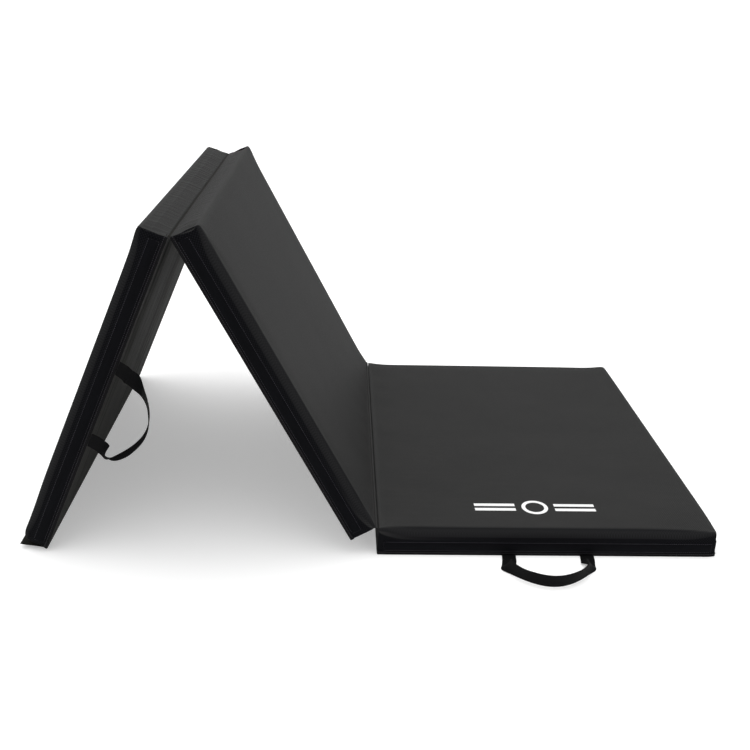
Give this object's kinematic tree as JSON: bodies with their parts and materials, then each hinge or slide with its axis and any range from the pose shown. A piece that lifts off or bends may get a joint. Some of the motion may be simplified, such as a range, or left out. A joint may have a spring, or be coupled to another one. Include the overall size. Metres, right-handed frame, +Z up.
{
  "type": "folding gym mat",
  "caption": "Zigzag-folding foam gym mat in black vinyl, with webbing carry handles, hook-and-loop edges and an end flap, stood up as a tent.",
  "frame": {"origin": "centre of panel 3's underside, on the floor", "axes": "+X along the mat from the raised panels to the flat one, -Y towards the handles' side, +Z up"},
  "size_m": [1.218, 0.8976, 0.5784],
  "materials": {
    "cover_vinyl": "matt",
    "base_vinyl": "matt",
    "foam": "matt",
    "loop_tape": "matt",
    "hook_tape": "matt",
    "webbing": "matt",
    "thread": "matt",
    "print_ink": "matt"
  },
  "bodies": {
    "panel_3": {"foam_core_3": "foam", "top_cover_3": "cover_vinyl", "base_sheet_3": "base_vinyl", "front_loop_tape_3": "loop_tape", "back_hook_tape_3": "hook_tape", "end_loop_tape_3": "loop_tape", "hinge_web_2_3": "cover_vinyl"},
    "panel_2": {"foam_core_2": "foam", "top_cover_2": "cover_vinyl", "base_sheet_2": "base_vinyl", "front_loop_tape_2": "loop_tape", "back_hook_tape_2": "hook_tape", "hinge_web_1_2": "base_vinyl"},
    "panel_1": {"foam_core_1": "foam", "top_cover_1": "cover_vinyl", "base_sheet_1": "base_vinyl", "front_loop_tape_1": "loop_tape", "back_hook_tape_1": "hook_tape"},
    "handle_3": {"handle_strap_3": "webbing"},
    "handle_1": {"handle_strap_1": "webbing"},
    "end_flap": {"end_flap": "base_vinyl", "end_flap_hook_tape": "hook_tape"}
  },
  "joints": [
    {"name": "fold_2_3", "type": "hinge", "parent": "panel_3", "child": "panel_2", "pos_m": [-0.3015, 0, 0.0505], "axis": [0, 1, 0], "range_deg": [-61.83, 118.17], "deforming": ["hinge_web_2_3"]},
    {"name": "fold_1_2", "type": "hinge", "parent": "panel_2", "child": "panel_1", "pos_m": [-0.63113, 0, 0.558], "axis": [0, -1, 0], "range_deg": [-128.57, 51.43], "deforming": ["hinge_web_1_2"]},
    {"name": "handle_3_swing", "type": "hinge", "parent": "panel_3", "child": "handle_3", "pos_m": [0, -0.4026, 0.001], "axis": [-1, 0, 0], "range_deg": [-90, 55]},
    {"name": "handle_1_swing", "type": "hinge", "parent": "panel_1", "child": "handle_1", "pos_m": [-0.75157, -0.4026, 0.28159], "axis": [-0.3949, 0, -0.9187], "range_deg": [-20, 145]},
    {"name": "end_flap_swing", "type": "hinge", "parent": "panel_1", "child": "end_flap", "pos_m": [-0.87349, 0, 0.003], "axis": [0, -1, 0], "range_deg": [-9.5, 80.5]}
  ]
}
